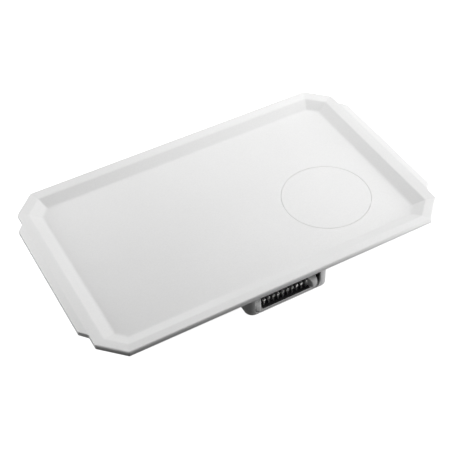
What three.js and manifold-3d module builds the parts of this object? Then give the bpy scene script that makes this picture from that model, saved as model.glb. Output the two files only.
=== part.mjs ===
// A tray-shaped cutting board with wing grips, a round inset zone and a docking connector in a hood
// under its front edge. Millimetres, +Z up, +Y to the back; z = 0 is the surface the feet stand on.
import * as THREE from "three";
import { mergeVertices } from "three/addons/utils/BufferGeometryUtils.js";
import { ConvexGeometry } from "three/addons/geometries/ConvexGeometry.js";
import Module from "manifold-3d";

const wasm = await Module();
wasm.setup();

// ---- Driving dimensions ----
const GAP = 0.3; // running and seating clearance between neighbouring pieces
const PAST = 1; // a cutting tool runs this far past the surface it opens

const RIM_Z = 41; // height of the rim's outer edge above the feet's soles
const HALF_LENGTH = 255.3; // the octagonal board without its wings
const HALF_WIDTH = 162.2;
const CORNER_CUT = 31; // leg of each 45 degree corner
const WING_REACH = 9.8;
const WING_ROOT = 112.3; // half-width of a wing where it leaves the board
const WING_TIP = 100.7;
const WING_DROP = 0.6; // the wing's outer edge sits this much below the rim

const RIM_WIDTH = 14.2;
const RIM_FALL = 2; // the rim falls this much towards the wall
const WALL_RUN = 16.5;
const FLOOR_DEPTH = 10;
const FLOOR_THICKNESS = 5;
const WALL_THICKNESS = 4;
const RIM_THICKNESS = 4.6;
const SKIRT_HEIGHT = 6.8;
const SKIRT_THICKNESS = 3;

const ZONE = { x: 133, y: -44, radius: 62.4, depth: 2.5, gap: 0.3 };
const ZONE_EDGE = 0.3; // chamfer of the round insert's edges
const ELEMENT = { radius: 50, thickness: 1.2, sides: 48 };

const FOOT = { x: 200, y: 110, radius: 15, edge: 1.5, draft: 1, bore: 2.4, well: 4.8, seatDepth: 29 };
const FOOT_BOSS = { radius: 6, depth: 22 };
const COVER = { left: -70, right: 190, front: -98, back: 40, corner: 12, depth: 23.3, wall: 2.5 };
const COVER_SCREW_INSET = 10; // from the cover's edges to its screws
const COVER_BOSS = { radius: 3.8, depth: COVER.depth - COVER.wall - GAP };
const GASKET = { width: 2, thickness: 1 };

const HOOD = {
  left: -58, right: 62.5, front: -160.5, back: -99, depth: 37.8, wall: 3, base: 2.5, corner: 11, rear: 6,
  edge: 1.5,
};
const HOOD_POST = { x: 49, front: -138, back: -112, radius: 4.5, depth: 25, seatDepth: 33.8 };
const HOOD_BOSS_ROOT = 8; // depth at which the board's hood bosses start, inside the sloping wall
const MOUTH = { left: -48.3, right: 49.3, corner: 8 }; // the hood's front opening
const OPEN_TOP = 1; // corner radius of outlines that run up past the solid they cut or form

const SOCKET_X = -1.5; // centre of the contact block
const BEZEL = {
  left: -47.8, right: 46.2, front: -160.4, back: -150.5, bottom: 34.6, corner: 7.5,
  cheekTop: 18, noseRun: 11.2, noseDrop: 10,
};
const FLARE = { left: -39.9, right: 38, past: 0.1 }; // between the cheeks' front faces
const BLOCK = { half: 35.2, front: -154, back: -147.2, top: 14.6, bottom: 31.8 };
const PLATE = { half: 51, front: -150.2, top: 10, bottom: 34.6, corner: 7.5 }; // the block's rear flange
const LEDGE = { front: -159.6, thickness: 1.2 }; // the block's floor, which guides a plug in
const PCB = { half: 46, front: -146.9, back: -145.3, top: 14, bottom: 31 };
const COLUMNS = 10;
const PITCH = 7;
const RING = { depth: 21.3, radius: 2.2, edge: 0.4, bore: 1.2, boreDepth: 2.6, nose: -156.4, rear: -150.9 };
const SHOULDER = { radius: 2.8, thickness: 1.4 };
const BARREL_FRONT = -152.6;
const SPRING = { coil: 1.9, wire: 0.5, turns: 3, stepsPerTurn: 9, back: -147.3 };
const BLADE = { depth: 28.05, width: 1.8, height: 4.4, nose: -156.2, tail: 0.8, end: -144.3 };
const CABLE = { left: -12.5, right: 7.5, thickness: 1, low: 25.5, high: 18, riser: -107, turn: -60, end: 98 };
const CABLE_ROOM = 1; // clearance round the cable where it passes through a wall

const SCREW = {
  foot: { shank: 2, head: 4.2, headHeight: 3, top: 17 },
  hood: { shank: 1.5, head: 3.2, headHeight: 2.4, top: 18 },
  cover: { shank: 1.5, head: 3, headHeight: 2, top: 16.8 },
  board: { shank: 1.2, head: 2.5, headHeight: 1.6, tip: -155 },
};
const CROSS = { half: 0.4, reach: 0.7, depth: 0.45 }; // reach and depth are shares of the head's size
const HEAD_CROWN = 0.3; // share of the head's height that is rounded off
const TIP_TAPER = 0.6;
const BOARD_SCREWS = { x: [-42.2, 40], depth: (PCB.top + PCB.bottom) / 2 };

const ROUND_SIDES = 24;
const SMALL_SIDES = 12;
const CIRCLE_SIDES = 80;
const CORNER_SEGMENTS = 8;

// A depth below the rim's outer edge as a height above the soles.
const at = (depth) => RIM_Z - depth;

// ---- Solids ----
function solid(geometry) {
  geometry.deleteAttribute("normal");
  geometry.deleteAttribute("uv");
  const merged = mergeVertices(geometry, 1e-3);
  const data = {
    numProp: 3,
    vertProperties: merged.attributes.position.array,
    triVerts: new Uint32Array(merged.index.array),
  };
  return new wasm.Manifold(new wasm.Mesh(data));
}

function join(parts) {
  return parts.reduce((whole, part) => whole.add(part));
}

function cut(body, tools) {
  return tools.reduce((left, tool) => left.subtract(tool), body);
}

function box(x0, x1, y0, y1, z0, z1) {
  const geometry = new THREE.BoxGeometry(x1 - x0, y1 - y0, z1 - z0);
  return solid(geometry.translate((x0 + x1) / 2, (y0 + y1) / 2, (z0 + z1) / 2));
}

function extrude(shape, depth, curveSegments) {
  return new THREE.ExtrudeGeometry(shape, { depth, bevelEnabled: false, curveSegments });
}

// A shape drawn in X and Y, standing from z0 to z1.
function prism(shape, z0, z1, curveSegments = 6) {
  return solid(extrude(shape, z1 - z0, curveSegments).translate(0, 0, z0));
}

// A shape drawn in X and Z, running from y0 back to y1.
function prismY(shape, y0, y1, curveSegments = 6) {
  return solid(extrude(shape, y1 - y0, curveSegments).rotateX(Math.PI / 2).translate(0, y1, 0));
}

// A shape drawn in Y and Z, running from x0 to x1.
function prismX(shape, x0, x1, curveSegments = 6) {
  const turn = new THREE.Matrix4().makeBasis(
    new THREE.Vector3(0, 1, 0), new THREE.Vector3(0, 0, 1), new THREE.Vector3(1, 0, 0));
  return solid(extrude(shape, x1 - x0, curveSegments).applyMatrix4(turn).translate(x0, 0, 0));
}

function cylinder(radius, z0, z1, x = 0, y = 0, sides = SMALL_SIDES) {
  const geometry = new THREE.CylinderGeometry(radius, radius, z1 - z0, sides);
  return solid(geometry.rotateX(Math.PI / 2).translate(x, y, (z0 + z1) / 2));
}

function cylinderY(radius, y0, y1, x, z, sides = SMALL_SIDES) {
  const geometry = new THREE.CylinderGeometry(radius, radius, y1 - y0, sides);
  return solid(geometry.translate(x, (y0 + y1) / 2, z));
}

// A closed profile of [radius, height] pairs turned about the vertical through x, y.
function turned(profile, x, y, sides) {
  const points = profile.map(([r, z]) => new THREE.Vector2(r, z));
  return solid(new THREE.LatheGeometry(points, sides).rotateX(Math.PI / 2).translate(x, y, 0));
}

// The convex solid between one outline at z0 and another at z1.
function frustum(low, z0, high, z1) {
  const corners = [
    ...low.map((p) => new THREE.Vector3(p.x, p.y, z0)),
    ...high.map((p) => new THREE.Vector3(p.x, p.y, z1)),
  ];
  return solid(new ConvexGeometry(corners));
}

// ---- Outlines ----
function polygon(pairs) {
  return pairs.map(([x, y]) => new THREE.Vector2(x, y));
}

function roundedRect(x0, x1, y0, y1, lowRadius, highRadius = lowRadius) {
  const shape = new THREE.Shape();
  shape.absarc(x1 - lowRadius, y0 + lowRadius, lowRadius, -Math.PI / 2, 0);
  shape.absarc(x1 - highRadius, y1 - highRadius, highRadius, 0, Math.PI / 2);
  shape.absarc(x0 + highRadius, y1 - highRadius, highRadius, Math.PI / 2, Math.PI);
  shape.absarc(x0 + lowRadius, y0 + lowRadius, lowRadius, Math.PI, 1.5 * Math.PI);
  return shape;
}

// The point where a polygon's corner goes when both of its edges move inwards by a distance.
function movedCorner(before, corner, after, distance) {
  const inward = (from, to) => new THREE.Vector2(from.y - to.y, to.x - from.x).normalize();
  const first = inward(before, corner);
  const second = inward(corner, after);
  const reach = distance / (1 + first.dot(second));
  return corner.clone().addScaledVector(first.add(second), reach);
}

// A counter-clockwise polygon with every edge moved inwards by a distance.
function inset(points, distance) {
  const n = points.length;
  return points.map((p, i) => movedCorner(points[(i + n - 1) % n], p, points[(i + 1) % n], distance));
}

const octagon = polygon([
  [HALF_LENGTH, CORNER_CUT - HALF_WIDTH],
  [HALF_LENGTH, HALF_WIDTH - CORNER_CUT],
  [HALF_LENGTH - CORNER_CUT, HALF_WIDTH],
  [CORNER_CUT - HALF_LENGTH, HALF_WIDTH],
  [-HALF_LENGTH, HALF_WIDTH - CORNER_CUT],
  [-HALF_LENGTH, CORNER_CUT - HALF_WIDTH],
  [CORNER_CUT - HALF_LENGTH, -HALF_WIDTH],
  [HALF_LENGTH - CORNER_CUT, -HALF_WIDTH],
]);

function wing(side) {
  const tip = side * (HALF_LENGTH + WING_REACH);
  return polygon([
    [side * HALF_LENGTH, -side * WING_ROOT],
    [tip, -side * WING_TIP],
    [tip, side * WING_TIP],
    [side * HALF_LENGTH, side * WING_ROOT],
  ]);
}

const outline = [octagon[0], ...wing(1), ...octagon.slice(1, 5), ...wing(-1), ...octagon.slice(5)];

// ---- Board ----
const WALL_SLOPE = (FLOOR_DEPTH - RIM_FALL) / WALL_RUN;
const WALL_SHIFT = WALL_THICKNESS * Math.hypot(1, WALL_SLOPE);
const UNDERSIDE = FLOOR_DEPTH + FLOOR_THICKNESS;

// How far in from the octagon the top surface of the wall, or its underside, reaches a depth.
const wallInset = (depth) => RIM_WIDTH + (depth - RIM_FALL) / WALL_SLOPE;
const undersideInset = (depth) => wallInset(depth - WALL_SHIFT);

// The convex form of the pan: everything above the sloping walls' and the floor's underside.
function pan() {
  const low = inset(octagon, undersideInset(UNDERSIDE));
  return frustum(low, at(UNDERSIDE), inset(octagon, undersideInset(RIM_THICKNESS)), at(RIM_THICKNESS));
}

function dish() {
  const rimSlope = RIM_FALL / RIM_WIDTH;
  const above = 0.5;
  const rim = frustum(
    inset(octagon, RIM_WIDTH), at(RIM_FALL), inset(octagon, -above / rimSlope), at(-above));
  const well = frustum(
    inset(octagon, wallInset(FLOOR_DEPTH)), at(FLOOR_DEPTH), inset(octagon, wallInset(0)), at(0));
  return rim.add(well);
}

// The wedge above a wing that gives it its slight fall outwards.
function wingRelief(side) {
  const near = side * HALF_LENGTH;
  const far = side * (HALF_LENGTH + WING_REACH + 1);
  const fall = WING_DROP * ((WING_REACH + 1) / WING_REACH);
  const corners = [];
  for (const y of [-WING_ROOT - 1, WING_ROOT + 1]) {
    corners.push(new THREE.Vector3(near, y, at(0)), new THREE.Vector3(near, y, at(-1)));
    corners.push(new THREE.Vector3(far, y, at(fall)), new THREE.Vector3(far, y, at(-1)));
  }
  return solid(new ConvexGeometry(corners));
}

const corners = (left, right, front, back) => [
  ["front_left", left, front],
  ["front_right", right, front],
  ["back_left", left, back],
  ["back_right", right, back],
];
const footPlaces = corners(-FOOT.x, FOOT.x, -FOOT.y, FOOT.y);
const hoodPlaces = corners(-HOOD_POST.x, HOOD_POST.x, HOOD_POST.front, HOOD_POST.back);
const coverPlaces = corners(
  COVER.left + COVER_SCREW_INSET, COVER.right - COVER_SCREW_INSET,
  COVER.front + COVER_SCREW_INSET, COVER.back - COVER_SCREW_INSET);

function tray() {
  const skirtFoot = at(SKIRT_HEIGHT);
  const plate = prism(new THREE.Shape(outline), skirtFoot, at(0));
  const hollow = new THREE.Shape(inset(outline, SKIRT_THICKNESS));
  const underRim = prism(hollow, skirtFoot - PAST, at(RIM_THICKNESS)).subtract(pan());
  const recess = cylinder(
    ZONE.radius + ZONE.gap, at(FLOOR_DEPTH + ZONE.depth), at(FLOOR_DEPTH - PAST),
    ZONE.x, ZONE.y, CIRCLE_SIDES);
  const bosses = [];
  const holes = [];
  const boss = ([, x, y], radius, depth, fastener, root) => {
    bosses.push(cylinder(radius, at(depth), at(root), x, y, ROUND_SIDES));
    holes.push(cylinder(fastener.shank + GAP, at(depth) - PAST, at(fastener.top - GAP), x, y));
  };
  const inFloor = UNDERSIDE - PAST;
  for (const place of footPlaces) {
    boss(place, FOOT_BOSS.radius, FOOT_BOSS.depth, SCREW.foot, inFloor);
  }
  for (const place of hoodPlaces) {
    boss(place, HOOD_POST.radius - GAP, HOOD_POST.depth, SCREW.hood, HOOD_BOSS_ROOT);
  }
  for (const place of coverPlaces) {
    boss(place, COVER_BOSS.radius, COVER_BOSS.depth, SCREW.cover, inFloor);
  }
  const body = join([plate.subtract(underRim), pan(), ...bosses]);
  return cut(body, [dish(), wingRelief(1), wingRelief(-1), recess, ...holes]);
}

function roundInsert() {
  const top = at(FLOOR_DEPTH);
  const bottom = at(FLOOR_DEPTH + ZONE.depth) + GAP;
  const profile = [
    [0, bottom], [ZONE.radius - ZONE_EDGE, bottom], [ZONE.radius, bottom + ZONE_EDGE],
    [ZONE.radius, top - ZONE_EDGE], [ZONE.radius - ZONE_EDGE, top], [0, top],
  ];
  return turned(profile, ZONE.x, ZONE.y, CIRCLE_SIDES);
}

// ---- Underside: element, cover and gasket ----
function zoneElement() {
  const top = at(UNDERSIDE) - GAP;
  return cylinder(ELEMENT.radius, top - ELEMENT.thickness, top, ZONE.x, ZONE.y, ELEMENT.sides);
}

function coverOutline(distance) {
  const { left, right, front, back, corner } = COVER;
  return roundedRect(left + distance, right - distance, front + distance, back - distance, corner - distance);
}

const GASKET_TOP = at(UNDERSIDE) - GAP;
const COVER_TOP = GASKET_TOP - GASKET.thickness - GAP;

function baseCover() {
  const bottom = at(COVER.depth);
  const shell = prism(coverOutline(0), bottom, COVER_TOP);
  const inside = prism(coverOutline(COVER.wall), bottom + COVER.wall, COVER_TOP + PAST);
  const notch = box(
    CABLE.left - CABLE_ROOM, CABLE.right + CABLE_ROOM, COVER.front - PAST, COVER.front + COVER.wall + PAST,
    at(CABLE.high) - CABLE_ROOM, COVER_TOP + PAST);
  const holes = coverPlaces.map(([, x, y]) =>
    cylinder(SCREW.cover.shank + GAP, bottom - PAST, bottom + COVER.wall + PAST, x, y));
  return cut(shell, [inside, notch, ...holes]);
}

function coverGasket() {
  const ring = prism(coverOutline(0), GASKET_TOP - GASKET.thickness, GASKET_TOP);
  const inside = coverOutline(GASKET.width);
  return ring.subtract(prism(inside, GASKET_TOP - GASKET.thickness - PAST, GASKET_TOP + PAST));
}

// The flat cable runs back from the contact board, steps up, and turns to the zone's element.
function flatCable() {
  const { left, right, thickness, low, high, riser, turn, end } = CABLE;
  const start = PCB.back + GAP;
  const run = [
    box(left, right, start, riser, at(low), at(low) + thickness),
    box(left, right, riser - thickness, riser, at(low), at(high) + thickness),
    box(left, right, riser - thickness, turn, at(high), at(high) + thickness),
    box(left, end, turn - (right - left), turn, at(high), at(high) + thickness),
  ];
  return join(run);
}

// ---- Feet ----
function foot(x, y) {
  const { radius, edge, draft, bore, well, seatDepth } = FOOT;
  const top = at(UNDERSIDE) - GAP;
  const socket = FOOT_BOSS.radius + GAP;
  const socketEnd = at(FOOT_BOSS.depth) - GAP;
  const seat = at(seatDepth);
  const profile = [
    [well, 0], [radius - edge, 0], [radius, edge], [radius - draft, top],
    [socket, top], [socket, socketEnd], [bore, socketEnd], [bore, seat], [well, seat], [well, 0],
  ];
  return turned(profile, x, y, ROUND_SIDES);
}

// A pan-head screw that points up, with its head's seat at z.
function screw(kind, x, y, seat) {
  const { shank, head, headHeight, top } = SCREW[kind];
  const base = seat - headHeight;
  const crown = headHeight * HEAD_CROWN;
  const profile = [
    [0, base], [head - crown, base], [head, base + crown], [head, seat],
    [shank, seat], [shank, at(top) - TIP_TAPER], [shank - TIP_TAPER, at(top)], [0, at(top)],
  ];
  const recess = (halfX, halfY) =>
    box(x - halfX, x + halfX, y - halfY, y + halfY, base - PAST, base + headHeight * CROSS.depth);
  const reach = head * CROSS.reach;
  return cut(turned(profile, x, y, SMALL_SIDES), [recess(reach, CROSS.half), recess(CROSS.half, reach)]);
}

// ---- Connector ----
function connectorHood() {
  const { left, right, front, back, depth, wall, base, corner, rear, edge } = HOOD;
  const bottom = at(depth);
  const floor = bottom + base;
  const rearFace = back - GAP;
  const plan = (inwards) => roundedRect(
    left + inwards, right - inwards, front + inwards, rearFace - inwards, corner - inwards, rear - inwards);
  const ring = (distance) => plan(distance).getPoints(CORNER_SEGMENTS);
  const walls = prism(plan(0), bottom + edge, at(SKIRT_HEIGHT) - GAP, CORNER_SEGMENTS);
  const shell = walls.add(frustum(ring(edge), bottom, ring(0), bottom + edge));
  const cavity = prism(plan(wall), floor, at(0), CORNER_SEGMENTS);
  const opening = roundedRect(MOUTH.left, MOUTH.right, floor, at(0), MOUTH.corner, OPEN_TOP);
  const mouth = prismY(opening, front - PAST, front + wall + PAST);
  const cable = box(
    CABLE.left - CABLE_ROOM, CABLE.right + CABLE_ROOM, rearFace - wall - PAST, back,
    at(CABLE.high) - CABLE_ROOM, at(0));
  const posts = [];
  const holes = [];
  for (const [, x, y] of hoodPlaces) {
    posts.push(cylinder(HOOD_POST.radius, floor - PAST, at(HOOD_POST.depth) - GAP, x, y, ROUND_SIDES));
    holes.push(cylinder(SCREW.hood.shank + GAP, bottom - PAST, at(0), x, y));
    const headSeat = at(HOOD_POST.seatDepth) + GAP;
    holes.push(cylinder(SCREW.hood.head + GAP, bottom - PAST, headSeat, x, y, ROUND_SIDES));
  }
  const open = cut(shell, [cavity, mouth, cable, pan().translate([0, 0, -GAP])]);
  return cut(join([open, ...posts]), holes);
}

// The cheeks seen from the side: upright below, with a nose that curves back to their top.
function cheekForm() {
  const { left, right, front, back, bottom, cheekTop, noseRun, noseDrop } = BEZEL;
  const side = new THREE.Shape();
  side.moveTo(back + PAST, at(cheekTop));
  side.absellipse(front + noseRun, at(cheekTop + noseDrop), noseRun, noseDrop, Math.PI / 2, Math.PI);
  side.lineTo(front, at(bottom) - PAST);
  side.lineTo(back + PAST, at(bottom) - PAST);
  return prismX(side, left - PAST, right + PAST);
}

// The tapered opening between the cheeks, which guides a plug in; it is open above.
function flare() {
  const rect = (left, right, y) => [
    new THREE.Vector3(left, y, at(BLOCK.bottom + GAP)), new THREE.Vector3(right, y, at(BLOCK.bottom + GAP)),
    new THREE.Vector3(right, y, at(0)), new THREE.Vector3(left, y, at(0)),
  ];
  const inner = BLOCK.half + GAP;
  return solid(new ConvexGeometry([
    ...rect(SOCKET_X - inner, SOCKET_X + inner, BLOCK.front),
    ...rect(FLARE.left, FLARE.right, BEZEL.front - FLARE.past),
  ]));
}

// Two cheeks on a sill, which frame the contact block.
function connectorBezel() {
  const { left, right, front, back, bottom, corner } = BEZEL;
  const cheeks = prismY(roundedRect(left, right, at(bottom), at(0), corner, OPEN_TOP), front, back);
  const seat = box(
    SOCKET_X - BLOCK.half - GAP, SOCKET_X + BLOCK.half + GAP, BLOCK.front - PAST, back + PAST,
    at(BLOCK.bottom) - GAP, at(BLOCK.top) + GAP);
  return cut(cheeks.intersect(cheekForm()), [seat, flare(), ...boardScrewHoles(SCREW.board.tip - GAP, back)]);
}

function boardScrewHoles(y0, y1) {
  return BOARD_SCREWS.x.map((x) =>
    cylinderY(SCREW.board.shank + GAP, y0, y1 + PAST, x, at(BOARD_SCREWS.depth)));
}

const columnX = (i) => SOCKET_X + (i - (COLUMNS - 1) / 2) * PITCH;
const columns = Array.from({ length: COLUMNS }, (_, i) => i);

function contactBlock() {
  const { half, front, back, top, bottom } = BLOCK;
  const core = box(SOCKET_X - half, SOCKET_X + half, front, back, at(bottom), at(top));
  const ledge = box(
    SOCKET_X - half, SOCKET_X + half, LEDGE.front, front + PAST, at(bottom), at(bottom) + LEDGE.thickness);
  const plate = prismY(
    roundedRect(-PLATE.half, PLATE.half, at(PLATE.bottom), at(PLATE.top), PLATE.corner, OPEN_TOP),
    PLATE.front, back);
  const holes = columns.flatMap((i) => [
    cylinderY(RING.radius + GAP, front - PAST, BARREL_FRONT + PAST, columnX(i), at(RING.depth)),
    cylinderY(SHOULDER.radius + GAP, BARREL_FRONT, back + PAST, columnX(i), at(RING.depth)),
    bladeBox(columnX(i), GAP, front - PAST, back + PAST),
  ]);
  holes.push(...boardScrewHoles(PLATE.front - PAST, back));
  return cut(join([core, ledge, plate]), holes);
}

function bladeBox(x, margin, y0, y1) {
  const halfWidth = BLADE.width / 2 + margin;
  const halfHeight = BLADE.height / 2 + margin;
  const z = at(BLADE.depth);
  return box(x - halfWidth, x + halfWidth, y0, y1, z - halfHeight, z + halfHeight);
}

// A sprung contact with a hollow nose and a shoulder that stays in its barrel.
function ringContact(x) {
  const profile = [
    [0, RING.nose + RING.boreDepth], [RING.bore, RING.nose + RING.boreDepth], [RING.bore, RING.nose],
    [RING.radius - RING.edge, RING.nose], [RING.radius, RING.nose + RING.edge],
    [RING.radius, RING.rear - SHOULDER.thickness], [SHOULDER.radius, RING.rear - SHOULDER.thickness],
    [SHOULDER.radius, RING.rear], [0, RING.rear],
  ];
  const points = profile.map(([r, y]) => new THREE.Vector2(r, y));
  return solid(new THREE.LatheGeometry(points, SMALL_SIDES).translate(x, 0, at(RING.depth)));
}

class Helix extends THREE.Curve {
  constructor(x, z, radius, y0, y1, turns) {
    super();
    Object.assign(this, { x, z, radius, y0, y1, turns });
  }

  getPoint(t, target = new THREE.Vector3()) {
    const angle = 2 * Math.PI * this.turns * t;
    const y = this.y0 + (this.y1 - this.y0) * t;
    return target.set(this.x + this.radius * Math.cos(angle), y, this.z + this.radius * Math.sin(angle));
  }
}

function contactSpring(x) {
  const { coil, wire, turns, stepsPerTurn, back } = SPRING;
  const front = RING.rear + GAP + wire / 2;
  const path = new Helix(x, at(RING.depth), coil, front, back - wire / 2, turns);
  const half = wire / 2;
  const section = new THREE.Shape(polygon([[-half, 0], [0, -half], [half, 0], [0, half]]));
  return solid(new THREE.ExtrudeGeometry(section, { extrudePath: path, steps: turns * stepsPerTurn }));
}

function bladeContact(x) {
  const blade = bladeBox(x, 0, BLADE.nose, BLOCK.back);
  const half = BLADE.tail / 2;
  const z = at(BLADE.depth);
  const tail = box(x - half, x + half, BLOCK.back - PAST, BLADE.end, z - half, z + half);
  return blade.add(tail);
}

function contactBoard() {
  const { half, front, back, top, bottom } = PCB;
  const reach = BLADE.tail / 2 + GAP;
  const z = at(BLADE.depth);
  const holes = columns.map((i) =>
    box(columnX(i) - reach, columnX(i) + reach, front - PAST, back + PAST, z - reach, z + reach));
  holes.push(...boardScrewHoles(front - PAST, back));
  return cut(box(-half, half, front, back, at(bottom), at(top)), holes);
}

function boardScrew(x) {
  const { shank, head, headHeight, tip } = SCREW.board;
  const seat = PCB.back + GAP;
  const z = at(BOARD_SCREWS.depth);
  const threaded = cylinderY(shank, tip, seat + headHeight / 2, x, z);
  return threaded.add(cylinderY(head, seat, seat + headHeight, x, z));
}

// ---- Materials and nodes ----
function finish(color, roughness, metalness = 0) {
  return new THREE.MeshStandardMaterial({ color, roughness, metalness });
}

const whitePlastic = () => finish(0xf2f2f0, 0.45);
const blackPlastic = () => finish(0x17181a, 0.4);
const greyPlastic = () => finish(0xb9bbbc, 0.55);
const rubber = () => finish(0x3a3b3d, 0.85);
const steel = () => finish(0xb8babd, 0.35, 1);
const plated = () => finish(0xc9c6bd, 0.25, 1);
const laminate = () => finish(0x2c5a3c, 0.5);

const board = new THREE.Group();

function add(name, made, material) {
  const data = made.getMesh();
  const geometry = new THREE.BufferGeometry();
  geometry.setAttribute("position", new THREE.BufferAttribute(data.vertProperties, 3));
  geometry.setIndex(new THREE.BufferAttribute(data.triVerts, 1));
  geometry.computeVertexNormals();
  const mesh = new THREE.Mesh(geometry, material);
  mesh.name = name;
  board.add(mesh);
}

add("tray", tray(), whitePlastic());
add("round_insert", roundInsert(), whitePlastic());
add("zone_element", zoneElement(), finish(0x9a9c9e, 0.4, 0.6));
add("base_cover", baseCover(), greyPlastic());
add("cover_gasket", coverGasket(), rubber());
add("flat_cable", flatCable(), greyPlastic());
for (const [place, x, y] of footPlaces) {
  add(`foot_${place}`, foot(x, y), rubber());
  add(`foot_screw_${place}`, screw("foot", x, y, at(FOOT.seatDepth) - GAP), steel());
}
for (const [place, x, y] of coverPlaces) {
  add(`cover_screw_${place}`, screw("cover", x, y, at(COVER.depth) - GAP), steel());
}
add("connector_hood", connectorHood(), whitePlastic());
for (const [place, x, y] of hoodPlaces) {
  add(`hood_screw_${place}`, screw("hood", x, y, at(HOOD_POST.seatDepth)), steel());
}
add("connector_bezel", connectorBezel(), whitePlastic());
add("contact_block", contactBlock(), blackPlastic());
add("contact_board", contactBoard(), laminate());
BOARD_SCREWS.x.forEach((x, i) => add(`board_screw_${i + 1}`, boardScrew(x), steel()));
for (const i of columns) {
  const number = String(i + 1).padStart(2, "0");
  add(`ring_contact_${number}`, ringContact(columnX(i)), plated());
  add(`contact_spring_${number}`, contactSpring(columnX(i)), steel());
  add(`blade_contact_${number}`, bladeContact(columnX(i)), plated());
}

export default board;
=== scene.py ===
import math

import bmesh
import bpy
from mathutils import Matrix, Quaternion, Vector


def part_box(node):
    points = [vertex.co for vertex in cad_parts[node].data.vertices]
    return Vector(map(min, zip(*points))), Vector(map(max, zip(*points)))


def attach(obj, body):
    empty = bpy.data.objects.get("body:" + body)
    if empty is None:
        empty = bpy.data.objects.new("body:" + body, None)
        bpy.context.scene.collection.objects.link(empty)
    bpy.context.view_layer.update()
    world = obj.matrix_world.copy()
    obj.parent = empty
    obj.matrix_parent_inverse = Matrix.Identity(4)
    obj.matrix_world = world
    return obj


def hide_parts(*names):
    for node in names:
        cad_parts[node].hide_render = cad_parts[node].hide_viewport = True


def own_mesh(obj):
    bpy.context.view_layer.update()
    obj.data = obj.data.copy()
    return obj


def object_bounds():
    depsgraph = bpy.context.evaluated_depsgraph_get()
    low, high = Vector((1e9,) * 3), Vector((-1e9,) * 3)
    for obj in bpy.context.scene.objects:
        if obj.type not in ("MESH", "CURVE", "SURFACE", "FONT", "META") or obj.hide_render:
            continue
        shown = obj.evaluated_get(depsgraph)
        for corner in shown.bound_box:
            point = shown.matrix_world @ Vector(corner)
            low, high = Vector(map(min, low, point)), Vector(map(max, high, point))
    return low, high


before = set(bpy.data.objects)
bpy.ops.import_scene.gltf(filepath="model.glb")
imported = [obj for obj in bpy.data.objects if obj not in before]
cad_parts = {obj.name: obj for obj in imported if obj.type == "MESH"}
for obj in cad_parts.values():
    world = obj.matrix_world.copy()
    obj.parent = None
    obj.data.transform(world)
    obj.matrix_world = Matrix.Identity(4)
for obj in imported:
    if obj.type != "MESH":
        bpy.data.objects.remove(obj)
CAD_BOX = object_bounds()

# A white moulded cutting board shaped as a shallow tray, with a round insert in its floor and a
# docking connector in a hood under its front edge. Metres, in the frame of the CAD parts.
MM = 0.001

# ---- The board's shape; its places come from the CAD boxes ----
TRAY_LOW, TRAY_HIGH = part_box("tray")
INSERT_LOW, INSERT_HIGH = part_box("round_insert")
RIM_Z = TRAY_HIGH.z
HALF_WIDTH = TRAY_HIGH.y
WING_REACH = 9.8 * MM
HALF_LENGTH = TRAY_HIGH.x - WING_REACH
CORNER_CUT = 31 * MM
WING_ROOT = 112.3 * MM  # half-width of a wing where it leaves the board
WING_TIP = 100.7 * MM
WING_DROP = 0.3 * MM  # the wing's tip lies this far below the rim
RIM_WIDTH = 14.2 * MM
RIM_FALL = 2 * MM  # towards the well
WALL_RUN = 16.5 * MM
WELL_DEPTH = 10 * MM
FLOOR_THICKNESS = 5 * MM
WALL_THICKNESS = 4 * MM
RIM_THICKNESS = 4.6 * MM
SKIRT_HEIGHT = 6.8 * MM
SKIRT_THICKNESS = 3 * MM
FLOOR_Z = RIM_Z - WELL_DEPTH
UNDERSIDE_Z = FLOOR_Z - FLOOR_THICKNESS
ZONE_CENTRE = (INSERT_LOW + INSERT_HIGH) / 2
ZONE_RADIUS = (INSERT_HIGH.x - INSERT_LOW.x) / 2
GAP = 0.3 * MM  # between the insert and its seat
SEAT_RADIUS = ZONE_RADIUS + GAP
SEAT_Z = INSERT_LOW.z - GAP
SUPPORT = 3 * MM  # flat band kept beside a crease, so that its rounding stays even
SOFT_FRONT = HALF_WIDTH - 35 * MM  # past this the lip of the front edge is softer than elsewhere
CIRCLE_SIDES = 144
BOSS_SIDES = 32
BOSSES = {  # radius, bore, and the depths below the rim where the boss and its bore end
    "foot": (6.0 * MM, 2.3 * MM, 22.0 * MM, 16.7 * MM),
    "hood": (4.2 * MM, 1.8 * MM, 25.0 * MM, 17.7 * MM),
    "cover": (3.8 * MM, 1.8 * MM, 20.5 * MM, 16.5 * MM),
}

ROUND = {  # rounding of the tray's edges, from edge to tangent
    "front_lip": 3.0 * MM, "lip": 1.0 * MM, "corner": 1.2 * MM, "crease": 0.5 * MM, "rim": 1.5 * MM,
    "floor": 2.2 * MM, "mitre": 1.2 * MM, "foot": 0.5 * MM, "under": 1.0 * MM, "seat": 0.3 * MM,
}
WIDEST_ROUND = max(ROUND.values())
ROUND_STEPS = 4

# ---- Studio ----
CAMERA = {
    "place": Vector((-0.4716, -0.8992, 1.0178)), "azimuth": -27.545, "elevation": 44.995,
    "roll": -2.105, "lens": 82.05,
}
LIGHTS = {  # place, side of the square lamp in metres, power in watts; each one faces the board
    "over_right": ((0.45, 0.30, 1.00), 0.8, 5.4),
    "right": ((0.90, 0.50, 0.80), 0.5, 2.6),
    "back_right": ((0.50, 0.70, 0.70), 0.5, 1.1),
    "back_left": ((-0.40, 0.50, 0.60), 0.4, 1.8),
    "left": ((-1.00, 0.50, 0.25), 0.3, 4.8),
    "front_right_low": ((0.32, -0.40, 0.03), 0.2, 0.8),
    "front_right": ((1.00, -0.30, 0.25), 0.3, 5.2),
}
WORLD_STRENGTH = 0.07  # faint even light, as the walls of a white room throw back
GROUND_HALF = 6  # metres


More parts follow.
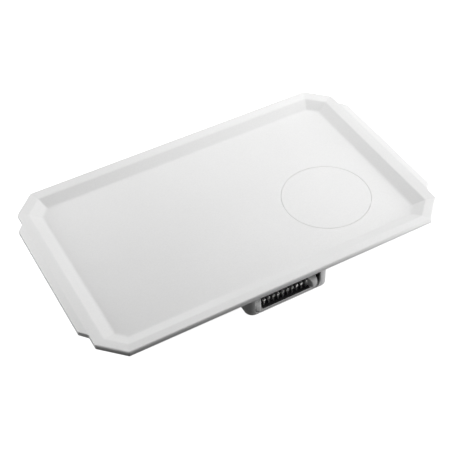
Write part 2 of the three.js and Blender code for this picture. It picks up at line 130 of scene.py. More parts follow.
# ---- Meshes ----
ARC_STEPS = 4
ON_AXIS = 1e-7  # a smaller radius is a point on a lathe piece's axis


def new_object(name, bm, finish):
    """A mesh object from a bmesh, smooth all over, in one material."""
    bmesh.ops.recalc_face_normals(bm, faces=bm.faces)
    mesh = bpy.data.meshes.new(name)
    bm.to_mesh(mesh)
    bm.free()
    mesh.shade_smooth()
    mesh.materials.append(finish)
    piece = bpy.data.objects.new(name, mesh)
    bpy.context.scene.collection.objects.link(piece)
    return piece


def stand_for(piece, node, body):
    """The piece rides on a body in the place of one CAD node."""
    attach(piece, body)
    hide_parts(node)


def middle(low, high, *axes):
    """The middle of a box along some axes."""
    return tuple((low[i] + high[i]) / 2 for i in axes)


def crisp(piece, degrees):
    """Keeps edges sharper than an angle as hard edges."""
    piece.data.set_sharp_from_angle(angle=math.radians(degrees))
    return piece


def even_normals(piece, weight, keep_sharp=False):
    """Lets the large faces set the shading, so that roundings don't darken them."""
    normals = piece.modifiers.new("normals", "WEIGHTED_NORMAL")
    normals.keep_sharp = keep_sharp
    normals.weight = weight


def fillet(points, radii, steps=ARC_STEPS, closed=True):
    """A flat line of 2-D points with each corner of a given radius turned into an arc."""
    line = []
    count = len(points)
    for i, (corner, radius) in enumerate(zip(points, radii)):
        corner = Vector(corner)
        if radius == 0 or (not closed and i in (0, count - 1)):
            line.append(corner)
            continue
        to_before = (Vector(points[i - 1]) - corner).normalized()
        to_after = (Vector(points[(i + 1) % count]) - corner).normalized()
        half = to_before.angle(to_after) / 2
        centre = corner + (to_before + to_after).normalized() * (radius / math.sin(half))
        start = corner + to_before * (radius / math.tan(half)) - centre
        end = corner + to_after * (radius / math.tan(half)) - centre
        sweep = math.remainder(math.atan2(end.y, end.x) - math.atan2(start.y, start.x), math.tau)
        first = math.atan2(start.y, start.x)
        for k in range(steps + 1):
            turn = first + sweep * k / steps
            line.append(centre + Vector((math.cos(turn), math.sin(turn))) * radius)
    return line


def loft(bm, rings):
    """A solid of quads between rings of equally many points, with a face at each end."""
    rows = [[bm.verts.new(point) for point in ring] for ring in rings]
    count = len(rows[0])
    for row, after in zip(rows, rows[1:]):
        for i in range(count):
            j = (i + 1) % count
            bm.faces.new((row[i], row[j], after[j], after[i]))
    bm.faces.new(rows[0])
    bm.faces.new(rows[-1])


def turned(bm, profile, centre, sides, axis="Z"):
    """A lathe piece: pairs of radius and place along its axis, closed or ending on the axis."""
    turns = [math.tau * i / sides for i in range(sides)]

    def point(radius, along, turn):
        across = (radius * math.cos(turn), radius * math.sin(turn))
        if axis == "Z":
            return Vector((centre[0] + across[0], centre[1] + across[1], along))
        return Vector((centre[0] + across[0], along, centre[1] + across[1]))

    rows = []
    for radius, along in profile:
        if radius < ON_AXIS:
            rows.append([bm.verts.new(point(0, along, 0))])
        else:
            rows.append([bm.verts.new(point(radius, along, turn)) for turn in turns])
    pairs = list(zip(rows, rows[1:]))
    if len(rows[0]) > 1 and len(rows[-1]) > 1:
        pairs.append((rows[-1], rows[0]))
    for row, after in pairs:
        for i in range(sides):
            j = (i + 1) % sides
            low = (row[i % len(row)], row[j % len(row)])
            high = (after[j % len(after)], after[i % len(after)])
            bm.faces.new(list(dict.fromkeys(low + high)))


def soften(piece, width, angle=25):
    """Rounds the edges of a CAD node's flat-faced solid with modifiers, its own mesh left as it is."""
    weld = piece.modifiers.new("weld", "WELD")
    weld.merge_threshold = 0.002 * MM
    flat = piece.modifiers.new("flat", "DECIMATE")
    flat.decimate_type = "DISSOLVE"
    flat.angle_limit = math.radians(0.5)
    bevel = piece.modifiers.new("round", "BEVEL")
    bevel.width = width
    bevel.segments = 2
    bevel.limit_method = "ANGLE"
    bevel.angle_limit = math.radians(angle)
    even_normals(piece, 80, keep_sharp=True)
    piece.data.shade_smooth()


# ---- Finishes ----
class Finish:
    """A Principled material and the few kinds of node that the finishes share."""

    def __init__(self, name, roughness, metallic=0.0, specular=0.5):
        self.material = bpy.data.materials.new(name)
        self.material.use_nodes = True
        self.tree = self.material.node_tree
        self.surface = self.tree.nodes["Principled BSDF"]
        self.surface.inputs["Roughness"].default_value = roughness
        self.surface.inputs["Metallic"].default_value = metallic
        self.surface.inputs["Specular IOR Level"].default_value = specular
        self.place = self.tree.nodes.new("ShaderNodeTexCoord").outputs["Object"]

    def link(self, source, target):
        """Joins an output to an input, or sets the input to a number."""
        if isinstance(source, (int, float)):
            target.default_value = source
        else:
            self.tree.links.new(source, target)

    def stretched(self, scale, turn=0.0):
        """The place on the object, scaled by axis and turned about Z, to draw out a texture."""
        node = self.tree.nodes.new("ShaderNodeMapping")
        node.inputs["Scale"].default_value = scale
        node.inputs["Rotation"].default_value = (0, 0, turn)
        self.link(self.place, node.inputs["Vector"])
        return node.outputs["Vector"]

    def noise(self, size, detail=2.0, place=None):
        """Noise from 0 to 1 with features of a size in metres."""
        node = self.tree.nodes.new("ShaderNodeTexNoise")
        node.inputs["Scale"].default_value = 1 / size
        node.inputs["Detail"].default_value = detail
        self.link(place or self.place, node.inputs["Vector"])
        return node.outputs["Fac"]

    def cells(self, size):
        """How far each place is from the middle of its cell, with cells of a size in metres."""
        node = self.tree.nodes.new("ShaderNodeTexVoronoi")
        node.inputs["Scale"].default_value = 1 / size
        self.link(self.place, node.inputs["Vector"])
        return node.outputs["Distance"]

    def along(self, axis):
        """The place along one axis, in metres."""
        node = self.tree.nodes.new("ShaderNodeSeparateXYZ")
        self.link(self.place, node.inputs["Vector"])
        return node.outputs[axis]

    def math(self, operation, a, b=0.0):
        node = self.tree.nodes.new("ShaderNodeMath")
        node.operation = operation
        self.link(a, node.inputs[0])
        self.link(b, node.inputs[1])
        return node.outputs["Value"]

    def spread(self, source, low, high, start=0.0, end=1.0):
        """A source's range from start to end as low to high, held at its ends."""
        node = self.tree.nodes.new("ShaderNodeMapRange")
        self.link(source, node.inputs["Value"])
        for socket, value in zip(("From Min", "From Max", "To Min", "To Max"), (start, end, low, high)):
            self.link(value, node.inputs[socket])
        return node.outputs["Result"]

    def mix(self, factor, first, second):
        """A colour between two, by a factor from 0 to 1."""
        node = self.tree.nodes.new("ShaderNodeMix")
        node.data_type = "RGBA"
        self.link(factor, node.inputs["Factor"])
        node.inputs["A"].default_value = (*first, 1)
        node.inputs["B"].default_value = (*second, 1)
        return node.outputs["Result"]

    def color(self, source):
        self.link(source, self.surface.inputs["Base Color"])

    def rough(self, source):
        self.link(source, self.surface.inputs["Roughness"])

    def bump(self, height, depth):
        """Adds a relief of a depth in metres, over those before it."""
        node = self.tree.nodes.new("ShaderNodeBump")
        node.inputs["Distance"].default_value = depth
        node.inputs["Strength"].default_value = 1.0
        self.link(height, node.inputs["Height"])
        before = self.surface.inputs["Normal"].links
        if before:
            self.link(before[0].from_socket, node.inputs["Normal"])
        self.link(node.outputs["Normal"], self.surface.inputs["Normal"])


def white_plastic(name, worked=False):
    """White satin polymer: even spark-eroded grain, faint flow clouds, and knife marks if worked on."""
    made = Finish(name, 0.42)
    clouds = made.noise(90 * MM, 3)
    flecks = made.noise(1.9 * MM, 4)
    tone = made.math("ADD", made.spread(clouds, 0, 0.45), made.spread(flecks, -0.2, 0.75))
    made.color(made.mix(tone, (0.79, 0.79, 0.787), (0.88, 0.88, 0.877)))
    grain = made.noise(0.55 * MM, 3)
    rough = made.math("ADD", made.spread(grain, 0.36, 0.46), made.spread(clouds, -0.03, 0.03))
    made.bump(grain, 0.02 * MM)
    if worked:
        marks = knife_marks(made)
        rough = made.math("ADD", rough, made.math("MULTIPLY", marks, 0.10))
        made.bump(marks, -0.02 * MM)
    made.rough(rough)
    return made.material


def knife_marks(made):
    """Sparse fine straight cuts in three directions, only down on the well's floor."""
    marks = 0.0
    for turn in (0.35, 1.25, 2.4):
        streaks = made.noise(1.0, 2, made.stretched((14, 900, 1), turn))
        cuts = made.spread(streaks, 0, 1, 0.69, 0.75)
        marks = made.math("MAXIMUM", cuts, marks)
    floor = made.spread(made.along("Z"), 1, 0, FLOOR_Z + 0.2 * MM, FLOOR_Z + 1.5 * MM)
    return made.math("MULTIPLY", marks, floor)


def black_plastic():
    """Glass-filled black polymer: fine grain with a few paler flecks."""
    made = Finish("black_plastic", 0.5, specular=0.4)
    flecks = made.spread(made.noise(0.35 * MM, 3), 0, 1, 0.62, 0.75)
    made.color(made.mix(flecks, (0.022, 0.022, 0.023), (0.06, 0.06, 0.061)))
    grain = made.noise(0.2 * MM, 2)
    made.rough(made.spread(grain, 0.38, 0.62))
    made.bump(grain, 0.012 * MM)
    return made.material


def grey_plastic(light, dark):
    """Grey polymer with a coarse leather-like mould grain."""
    made = Finish("grey_plastic", 0.5)
    made.color(made.mix(made.noise(25 * MM, 4), dark, light))
    pits = made.cells(0.9 * MM)
    made.rough(made.spread(made.noise(2 * MM, 3), 0.46, 0.6))
    made.bump(made.spread(pits, 0, 1, 0.1, 0.6), 0.04 * MM)
    return made.material


def ribbon():
    """A flat cable's sleeve: narrow conductors side by side under a pale film."""
    made = Finish("ribbon", 0.4)
    pitch = 1.27 * MM
    wires = made.math("PINGPONG", made.along("X"), pitch / 2)
    ridge = made.spread(wires, 0, 1, 0, pitch / 2)
    made.color(made.mix(ridge, (0.42, 0.42, 0.43), (0.66, 0.66, 0.66)))
    made.rough(made.spread(made.noise(3 * MM, 3), 0.34, 0.48))
    made.bump(ridge, 0.15 * MM)
    return made.material


def rubber(name, tone):
    """Matt moulded rubber, with a bloom that greys it in clouds."""
    made = Finish(name, 0.85, specular=0.3)
    bloom = made.spread(made.noise(7 * MM, 5), 0, 1, 0.35, 0.75)
    made.color(made.mix(bloom, (tone, tone, tone * 1.02), (tone * 1.9, tone * 1.9, tone * 1.9)))
    made.rough(made.spread(made.noise(0.8 * MM, 3), 0.72, 0.95))
    made.bump(made.noise(0.5 * MM, 4), 0.05 * MM)
    return made.material


def turned_metal(name, colour, stain, roughness, line):
    """Bright metal with the fine lines that a lathe leaves round it, and a little stain."""
    made = Finish(name, roughness, metallic=1.0)
    stains = made.spread(made.noise(2.2 * MM, 5), 0, 1, 0.45, 0.8)
    made.color(made.mix(stains, colour, stain))
    lines = made.noise(line, 2, made.stretched((0.15, 1, 1)))
    polish = made.spread(lines, roughness - 0.08, roughness + 0.1)
    made.rough(made.math("ADD", polish, made.math("MULTIPLY", stains, 0.12)))
    made.bump(lines, 0.006 * MM)
    return made.material


def heater_foil():
    """Etched foil: even rings of track round the zone's centre."""
    made = Finish("heater_foil", 0.35, metallic=0.8)
    pitch = 4 * MM
    node = made.tree.nodes.new("ShaderNodeVectorMath")
    node.operation = "DISTANCE"
    made.link(made.stretched((1, 1, 0)), node.inputs[0])
    node.inputs[1].default_value = (ZONE_CENTRE.x, ZONE_CENTRE.y, 0)
    track = made.math("PINGPONG", node.outputs["Value"], pitch / 2)
    line = made.spread(track, 0, 1, 0.6 * MM, 0.8 * MM)
    made.color(made.mix(line, (0.55, 0.42, 0.22), (0.62, 0.63, 0.64)))
    made.rough(made.spread(made.noise(4 * MM, 3), 0.28, 0.45))
    made.bump(line, 0.05 * MM)
    return made.material


def laminate():
    """Green solder mask over a woven glass board."""
    made = Finish("laminate", 0.35)
    half_pitch = 0.3 * MM
    warp = made.math("PINGPONG", made.along("X"), half_pitch)
    weft = made.math("PINGPONG", made.along("Z"), half_pitch)
    weave = made.spread(made.math("ADD", warp, weft), 0, 1, 0, 2 * half_pitch)
    made.color(made.mix(weave, (0.015, 0.075, 0.035), (0.02, 0.11, 0.05)))
    made.rough(made.spread(made.noise(3 * MM, 3), 0.28, 0.42))
    made.bump(weave, 0.01 * MM)
    return made.material


def studio_floor():
    """Plain pale paper, bright enough to read as white."""
    made = Finish("studio_floor", 0.9, specular=0.1)
    fibres = made.noise(4 * MM, 4)
    made.color(made.mix(fibres, (0.88, 0.88, 0.88), (0.9, 0.9, 0.9)))
    made.surface.inputs["Emission Color"].default_value = (1, 1, 1, 1)
    made.surface.inputs["Emission Strength"].default_value = 0.93
    return made.material


# ---- Tray ----
DIAGONAL = math.sqrt(2) - 1  # how far a cut corner's ends move along a side when the outline moves in by 1
WING_SLOPE = (WING_ROOT - WING_TIP) / WING_REACH
WING_SHARE = math.hypot(1, WING_SLOPE) - WING_SLOPE  # the same for a wing's end
WALL_SLOPE = (WELL_DEPTH - RIM_FALL) / WALL_RUN
WALL_SHIFT = WALL_THICKNESS * math.hypot(1, WALL_SLOPE)  # the wall's thickness, measured straight down


def wall_inset(depth):
    """How far in from the octagon the wall's top surface reaches a depth below the rim."""
    return RIM_WIDTH + (depth - RIM_FALL) / WALL_SLOPE


def outline_ring(inset, z, wings=False, wing_z=None):
    """Sixteen points anticlockwise: the octagon moved inwards, with a wing's four on each short end."""
    half_x = HALF_LENGTH - inset
    half_y = HALF_WIDTH - inset
    short = HALF_WIDTH - CORNER_CUT - DIAGONAL * inset
    long = HALF_LENGTH - CORNER_CUT - DIAGONAL * inset
    tip_x = half_x + (WING_REACH if wings else 0)
    share = WING_SHARE * inset if wings else 0
    tip_z = z if wing_z is None else wing_z
    quarter = [(half_x, WING_ROOT - share, z), (half_x, short, z), (long, half_y, z)]
    right_back = [(tip_x, WING_TIP - share, tip_z), *quarter]
    left_back = [(-x, y, h) for x, y, h in reversed(right_back)]
    left_front = [(-x, -y, h) for x, y, h in right_back]
    right_front = [(x, -y, h) for x, y, h in reversed(right_back)]
    return [Vector(p) for p in right_back + left_back + left_front + right_front]


OCTAGON_CORNERS = [2, 3, 4, 5, 10, 11, 12, 13]  # their places in outline_ring's sixteen points


class Cage:
    """A coarse mesh whose vertices merge by place, with a rounding named for each edge."""

    def __init__(self):
        self.bm = bmesh.new()
        self.found = {}
        self.weight = self.bm.edges.layers.float.new("bevel_weight_edge")

    def vertex(self, point):
        key = tuple(round(c / MM, 3) for c in point)
        if key not in self.found:
            self.found[key] = self.bm.verts.new(point)
        return self.found[key]

    def row(self, points):
        """A ring of vertices."""
        return [self.vertex(point) for point in points]

    def band(self, first, second):
        """Faces between two rings; where the rings share points, the face loses a corner or two."""
        count = len(first)
        for i in range(count):
            j = (i + 1) % count
            corners = list(dict.fromkeys((first[i], first[j], second[j], second[i])))
            if len(corners) > 2:
                self.bm.faces.new(corners)

    def round_ring(self, ring, name):
        """Names the rounding of a whole ring's edges."""
        for first, second in zip(ring, ring[1:] + ring[:1]):
            self.round_edge(first, second, name)

    def round_edge(self, first, second, name):
        edge = self.bm.edges.get((first, second))
        if edge:
            edge[self.weight] = ROUND[name] / WIDEST_ROUND


def circle(radius, z):
    """A ring of points round the zone's centre."""
    centre = ZONE_CENTRE.xy.to_3d()
    turns = [math.tau * i / CIRCLE_SIDES for i in range(CIRCLE_SIDES)]
    return [centre + Vector((radius * math.cos(t), radius * math.sin(t), z)) for t in turns]


def fill_between(cage, outer, inner):
    """Flat faces between an outer ring and a hole's ring."""
    edges = []
    for ring in (outer, inner):
        for first, second in zip(ring, ring[1:] + ring[:1]):
            edges.append(cage.bm.edges.get((first, second)) or cage.bm.edges.new((first, second)))
    bmesh.ops.triangle_fill(cage.bm, use_beauty=True, edges=edges, normal=Vector((0, 0, 1)))


def tray_cage():
    """The tray as rings from the well's floor out over the rim, down the skirt and in underneath."""
    under_rim = RIM_Z - RIM_THICKNESS
    skirt_foot = RIM_Z - SKIRT_HEIGHT
    rim_in = wall_inset(RIM_THICKNESS - WALL_SHIFT)
    under_in = wall_inset(WELL_DEPTH + FLOOR_THICKNESS - WALL_SHIFT)
    cage = Cage()
    floor_band = cage.row(outline_ring(wall_inset(WELL_DEPTH) + SUPPORT, FLOOR_Z))
    floor = cage.row(outline_ring(wall_inset(WELL_DEPTH), FLOOR_Z))
    rim = cage.row(outline_ring(RIM_WIDTH, RIM_Z - RIM_FALL))
    crease = cage.row(outline_ring(0, RIM_Z))
    lip = cage.row(outline_ring(0, RIM_Z, True, RIM_Z - WING_DROP))
    foot = cage.row(outline_ring(0, skirt_foot, True))
    foot_in = cage.row(outline_ring(SKIRT_THICKNESS, skirt_foot, True))
    roof = cage.row(outline_ring(SKIRT_THICKNESS, under_rim, True))
    roof_in = cage.row(outline_ring(rim_in, under_rim))
    base = cage.row(outline_ring(under_in, UNDERSIDE_Z))
    base_band = cage.row(outline_ring(under_in + SUPPORT, UNDERSIDE_Z))
    rings = [floor_band, floor, rim, crease, lip, foot, foot_in, roof, roof_in, base, base_band]
    for first, second in zip(rings, rings[1:]):
        cage.band(first, second)
    cage.bm.faces.new(base_band)

    seat_band = cage.row(circle(SEAT_RADIUS + SUPPORT, FLOOR_Z))
    seat_top = cage.row(circle(SEAT_RADIUS, FLOOR_Z))
    seat = cage.row(circle(SEAT_RADIUS, SEAT_Z))
    seat_in = cage.row(circle(SEAT_RADIUS - SUPPORT, SEAT_Z))
    for first, second in zip((seat_band, seat_top, seat), (seat_top, seat, seat_in)):
        cage.band(first, second)
    cage.bm.faces.new(seat_in)
    fill_between(cage, floor_band, seat_band)

    roundings = [
        (floor, "floor"), (rim, "rim"), (crease, "crease"), (lip, "lip"), (foot, "foot"),
        (foot_in, "foot"), (roof, "under"), (roof_in, "under"), (base, "under"), (seat_top, "seat"),
        (seat, "seat"),
    ]
    for ring, name in roundings:
        cage.round_ring(ring, name)
    for first, second in zip(lip, lip[1:]):
        if max(first.co.y, second.co.y) < -SOFT_FRONT:
            cage.round_edge(first, second, "front_lip")
    for i in OCTAGON_CORNERS:
        cage.round_edge(floor[i], rim[i], "mitre")
        cage.round_edge(rim[i], crease[i], "mitre")
        cage.round_edge(roof_in[i], base[i], "mitre")
    for i in range(len(lip)):
        cage.round_edge(lip[i], foot[i], "corner")
        cage.round_edge(foot_in[i], roof[i], "under")
    return cage.bm


def add_boss(bm, x, y, kind):
    """A drilled boss under the floor or the wall, rooted just below its top surface."""
    radius, bore, depth, end = BOSSES[kind]
    inset = HALF_WIDTH - abs(y) + radius
    surface = min(WELL_DEPTH, RIM_FALL + (inset - RIM_WIDTH) * WALL_SLOPE)
    low, high = RIM_Z - depth, RIM_Z - surface - 0.15 * MM
    edge = 0.4 * MM
    sleeve = [(bore, low), (radius, low), (radius, high), (bore, high)]
    plug = [(0, RIM_Z - end), (bore, RIM_Z - end), (bore, high), (0, high)]
    turned(bm, fillet(sleeve, [edge / 2, edge, 0, 0], steps=3), (x, y), BOSS_SIDES)
    turned(bm, plug, (x, y), BOSS_SIDES)


def tray_bosses(finish):
    """The bosses that take the feet's, the hood's and the cover's screws."""
    bm = bmesh.new()
    for kind in BOSSES:
        for name in named(f"{kind}_screw_"):
            add_boss(bm, *middle(*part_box(name), 0, 1), kind)
    piece = crisp(new_object("tray_bosses", bm, finish), 40)
    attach(piece, "board")


def tray(finish):
    """The one-piece moulding, its edges rounded by their names."""
    piece = new_object("tray_shell", tray_cage(), finish)
    bevel = piece.modifiers.new("round", "BEVEL")
    bevel.width = WIDEST_ROUND
    bevel.segments = ROUND_STEPS
    bevel.limit_method = "WEIGHT"
    bevel.use_clamp_overlap = False
    even_normals(piece, 90)
    stand_for(piece, "tray", "board")


def insert_disc(finish):
    """The round insert: a flat disc with rounded edges."""
    top, bottom = INSERT_HIGH.z, INSERT_LOW.z
    edge = 0.35 * MM
    outline = [(0, bottom), (ZONE_RADIUS, bottom), (ZONE_RADIUS, top), (0, top)]
    profile = fillet(outline, [0, edge, edge, 0], closed=False)
    bm = bmesh.new()
    turned(bm, profile, ZONE_CENTRE.xy, CIRCLE_SIDES)
    piece = crisp(new_object("insert_disc", bm, finish), 60)
    even_normals(piece, 90)
    stand_for(piece, "round_insert", "insert")


# ---- Connector ----
SOCKET_X = -1.5 * MM  # middle of the contact block
BLOCK_HALF = 35.5 * MM  # with its clearance
BLOCK_FRONT = -154 * MM
BEZEL = {  # places across and along the board, and depths below the rim
    "left": -47.8 * MM, "right": 46.2 * MM, "front": -160.4 * MM, "back": -150.5 * MM,
    "bottom": 34.6 * MM, "corner": 7.5 * MM, "top": 18 * MM, "nose_run": 11.2 * MM,
    "nose_drop": 10 * MM, "mouth_left": -39.9 * MM, "mouth_right": 38 * MM, "sill": 32.1 * MM,
    "sill_left": -42 * MM, "sill_right": 40 * MM, "edge": 0.7 * MM,
}
OVERLAP = 0.05 * MM  # the sill ends this far inside the cheeks' faces
CHEEK_ROUND = 2.4 * MM
ROUND_SHARE = 0.45  # the most of a section's side that one rounding takes
NOSE_STEPS, CORNER_STEPS, EDGE_STEPS = 14, 8, 3
PIN_SIDES = 32


def quarter_turns(first, steps):
    """Angles from a step of a quarter turn to its end."""
    return [math.pi / 2 * i / steps for i in range(first, steps + 1)]


def cheek_section(side, depth, front):
    """A cheek's outline in plan at a depth below the rim, where its front has moved back to a place."""
    hand = "left" if side < 0 else "right"
    outer, mouth, corner = BEZEL[hand], BEZEL["mouth_" + hand], BEZEL["corner"]
    back = BEZEL["back"] - OVERLAP
    inner = SOCKET_X + side * BLOCK_HALF
    into_corner = max(0, depth - (BEZEL["bottom"] - corner))
    outer -= side * (corner - math.sqrt(max(0, corner ** 2 - into_corner ** 2)))
    taper = max(0, min(1, (BLOCK_FRONT - front) / (BLOCK_FRONT - BEZEL["front"])))
    lip = inner + (mouth - inner) * taper
    throat = min(max(BLOCK_FRONT, front + 1 * MM), back - 0.2 * MM)
    room = min(CHEEK_ROUND, ROUND_SHARE * (back - front), ROUND_SHARE * abs(lip - outer))
    points = [(outer, back), (outer, front), (lip, front), (inner, throat), (inner, back)]
    outline = fillet(points, [0, room, 0.9 * room, 0, 0], steps=6)
    return [Vector((*p, RIM_Z - depth)) for p in outline]


def add_cheek(bm, side):
    """A cheek as sections downwards: its domed nose, its straight front and its rounded foot."""
    top, drop, bottom, edge = (BEZEL[k] for k in ("top", "nose_drop", "bottom", "edge"))
    levels = []
    for turn in quarter_turns(0, NOSE_STEPS):
        front = BEZEL["front"] + BEZEL["nose_run"] * (1 - math.sin(turn))
        if front < BEZEL["back"] - 1 * MM:
            levels.append((top + drop * (1 - math.cos(turn)), front))
    for turn in quarter_turns(0, CORNER_STEPS):
        depth = bottom - BEZEL["corner"] * (1 - math.sin(turn))
        if top + drop < depth < bottom - edge:
            levels.append((depth, BEZEL["front"]))
    for turn in quarter_turns(1, EDGE_STEPS):
        depth = bottom - edge * (1 - math.sin(turn))
        levels.append((depth, BEZEL["front"] + edge * (1 - math.cos(turn))))
    loft(bm, [cheek_section(side, depth, front) for depth, front in levels])


def add_sill(bm):
    """The bar between the cheeks, under the contact block."""
    front, back = BEZEL["front"] + OVERLAP, BEZEL["back"] - OVERLAP
    low, high = RIM_Z - BEZEL["bottom"] + OVERLAP, RIM_Z - BEZEL["sill"]
    corners = [(front, low), (back, low), (back, high), (front, high)]
    side = fillet(corners, [BEZEL["edge"], 0, 0, BEZEL["edge"]])
    loft(bm, [[Vector((x, *p)) for p in side] for x in (BEZEL["sill_left"], BEZEL["sill_right"])])


def bezel(finish):
    """The white frame in the hood's mouth: two cheeks on a sill."""
    bm = bmesh.new()
    add_cheek(bm, -1)
    add_cheek(bm, 1)
    add_sill(bm)
    piece = crisp(new_object("bezel_shell", bm, finish), 32)
    stand_for(piece, "connector_bezel", "board")


def ring_pin(number, finish):
    """A sprung contact: a hollow rounded nose on a shank, with a shoulder behind."""
    node = f"ring_contact_{number:02d}"
    low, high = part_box(node)
    nose, rear = low.y, high.y
    shank, shoulder, shoulder_front = 2.2 * MM, 2.8 * MM, rear - 1.4 * MM
    fine = 0.15 * MM
    profile = [  # radius, place along the contact and rounding, from the bottom of the hollow
        (0, nose + 2.4 * MM, 0), (0.95 * MM, nose + 2.0 * MM, 0.3 * MM),
        (1.2 * MM, nose + 0.7 * MM, 0.4 * MM), (1.4 * MM, nose, fine), (shank, nose, 0.3 * MM),
        (shank, shoulder_front, fine), (shoulder, shoulder_front, fine), (shoulder, rear, fine),
        (0, rear, 0),
    ]
    outline = [(radius, along) for radius, along, _ in profile]
    radii = [rounding for _, _, rounding in profile]
    bm = bmesh.new()
    turned(bm, fillet(outline, radii, closed=False), middle(low, high, 0, 2), PIN_SIDES, axis="Y")
    piece = crisp(new_object(f"ring_pin_{number:02d}", bm, finish), 40)
    stand_for(piece, node, f"contact_{number:02d}")


def coil_spring(number, finish):
    """A round-wire compression spring with closed ends, behind a ring contact."""
    node = f"contact_spring_{number:02d}"
    low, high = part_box(node)
    x, z = middle(low, high, 0, 2)
    wire = 0.25 * MM
    radius = (high.x - low.x) / 2 - wire
    start, end = low.y + wire, high.y - wire
    turns, steps, sides = 3.75, 20, 8
    count = int(turns * steps)
    around = [math.tau * k / sides for k in range(sides)]
    along = Vector((0, 1, 0))
    rings = []
    for i in range(count + 1):
        turn = math.tau * i / steps
        share = max(0, min(1, (i - 0.5 * steps) / (count - steps)))
        outward = Vector((math.cos(turn), 0, math.sin(turn)))
        centre = Vector((x, start + (end - start) * share, z)) + outward * radius
        rings.append([centre + (outward * math.cos(a) + along * math.sin(a)) * wire for a in around])
    bm = bmesh.new()
    loft(bm, rings)
    piece = crisp(new_object(f"coil_spring_{number:02d}", bm, finish), 60)
    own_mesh(piece)
    stand_for(piece, node, "board")


# ---- Feet ----
FOOT_SIDES = 64
TREADS = (7.0 * MM, 9.3 * MM, 11.6 * MM)  # radii of the grooves in a sole
GROOVE = ((-0.5 * MM, 0), (-0.3 * MM, 0.8 * MM), (0.3 * MM, 0.8 * MM), (0.5 * MM, 0))


def foot_pad(node, finish):
    """A tapered rubber foot with ring treads in its sole and a well for its screw."""
    low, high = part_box(node)
    outer, top = (high.x - low.x) / 2, high.z
    socket, socket_end = 6.3 * MM, RIM_Z - 22.3 * MM
    bore, well, seat = 2.4 * MM, 4.8 * MM, RIM_Z - 29 * MM
    outline, radii = [(well, 0)], [0.3 * MM]
    for radius in TREADS:
        for across, height in GROOVE:
            outline.append((radius + across, height))
            radii.append(0.12 * MM)
    outline += [
        (outer, 0), (outer - 1 * MM, top), (socket, top), (socket, socket_end), (bore, socket_end),
        (bore, seat), (well, seat),
    ]
    radii += [1.5 * MM, 0.5 * MM, 0.3 * MM, 0.3 * MM, 0.2 * MM, 0.2 * MM, 0.3 * MM]
    bm = bmesh.new()
    turned(bm, fillet(outline, radii), middle(low, high, 0, 1), FOOT_SIDES)
    piece = crisp(new_object(node.replace("foot_", "foot_pad_"), bm, finish), 50)
    stand_for(piece, node, "board")


# ---- Studio ----
def studio_camera():
    """The camera, turned by its azimuth and elevation and then about its own axis."""
    azimuth, elevation = (math.radians(CAMERA[k]) for k in ("azimuth", "elevation"))
    forward = Vector((
        -math.sin(azimuth) * math.cos(elevation), math.cos(azimuth) * math.cos(elevation),
        -math.sin(elevation)))
    camera = bpy.data.objects.new("camera", bpy.data.cameras.new("camera"))
    camera.data.lens = CAMERA["lens"]
    camera.data.sensor_width = 36
    camera.location = CAMERA["place"]
    camera.rotation_mode = "QUATERNION"
    roll = Quaternion((0, 0, 1), math.radians(CAMERA["roll"]))
    camera.rotation_quaternion = forward.to_track_quat("-Z", "Y") @ roll
    bpy.context.scene.collection.objects.link(camera)
    bpy.context.scene.camera = camera


def studio_lights():
    """Soft square lamps that face the board and stay out of the picture."""
    for name, (place, size, power) in LIGHTS.items():
        lamp = bpy.data.lights.new(name, "AREA")
        lamp.shape = "SQUARE"
        lamp.size = size
        lamp.energy = power
        light = bpy.data.objects.new(name, lamp)
        light.visible_camera = False
        light.location = place
        light.rotation_mode = "QUATERNION"
        light.rotation_quaternion = (-light.location).to_track_quat("-Z", "Y")
        bpy.context.scene.collection.objects.link(light)


def studio_world():
    """Faint even light from all round."""
    world = bpy.data.worlds.new("studio")
    bpy.context.scene.world = world
    world.use_nodes = True
    background = world.node_tree.nodes["Background"]
    background.inputs["Color"].default_value = (1, 1, 1, 1)
    background.inputs["Strength"].default_value = WORLD_STRENGTH


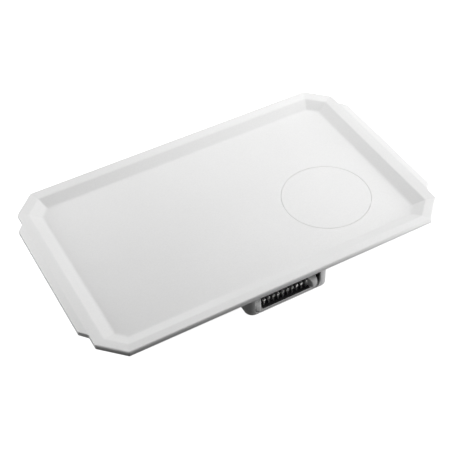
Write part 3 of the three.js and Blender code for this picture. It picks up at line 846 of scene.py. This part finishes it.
def studio_ground():
    """A pale floor under the feet, which throws no light back on the board."""
    half, z = GROUND_HALF, CAD_BOX[0].z - 0.2 * MM
    bm = bmesh.new()
    corners = [(-half, -half), (half, -half), (half, half), (-half, half)]
    bm.faces.new([bm.verts.new((x, y, z)) for x, y in corners])
    ground = new_object("studio_ground", bm, studio_floor())
    ground.visible_diffuse = False
    ground.visible_glossy = False


def dress(nodes, finish, width=0.0, **rounding):
    """Gives CAD nodes a finish, and rounded edges where a width is given."""
    for name in nodes:
        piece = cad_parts[name]
        piece.data.materials.clear()
        piece.data.materials.append(finish)
        if width:
            soften(piece, width, **rounding)


def named(prefix):
    """The CAD nodes whose names start with a prefix."""
    return sorted(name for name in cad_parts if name.startswith(prefix))


# ---- The object ----
studio_camera()
studio_lights()
studio_world()
studio_ground()
bpy.context.scene.view_settings.view_transform = "Standard"

WHITE = white_plastic("white_plastic")
WHITE_WORKED = white_plastic("white_plastic_worked", worked=True)
STEEL = turned_metal("steel", (0.62, 0.62, 0.63), (0.45, 0.44, 0.42), 0.3, 0.25 * MM)
PLATED = turned_metal("plated", (0.93, 0.93, 0.92), (0.78, 0.77, 0.75), 0.26, 0.2 * MM)
tray(WHITE_WORKED)
insert_disc(WHITE_WORKED)
tray_bosses(WHITE)
dress(["connector_hood"], WHITE, 0.8 * MM)
bezel(WHITE)
dress(["contact_block"], black_plastic(), 0.15 * MM)
dress(["contact_board"], laminate())
dress(["base_cover"], grey_plastic((0.50, 0.50, 0.51), (0.44, 0.44, 0.45)), 0.5 * MM)
dress(["cover_gasket"], rubber("gasket_rubber", 0.05), 0.2 * MM)
dress(["flat_cable"], ribbon(), 0.2 * MM)
dress(["zone_element"], heater_foil(), 0.1 * MM)
for kind in ("foot_screw", "cover_screw", "hood_screw", "board_screw"):
    dress(named(kind), STEEL, 0.12 * MM, angle=35)
FOOT_RUBBER = rubber("foot_rubber", 0.03)
for node in named("foot_"):
    if "screw" not in node:
        foot_pad(node, FOOT_RUBBER)
for number in range(1, 11):
    ring_pin(number, PLATED)
    coil_spring(number, STEEL)
dress(named("blade_contact"), PLATED, 0.2 * MM)
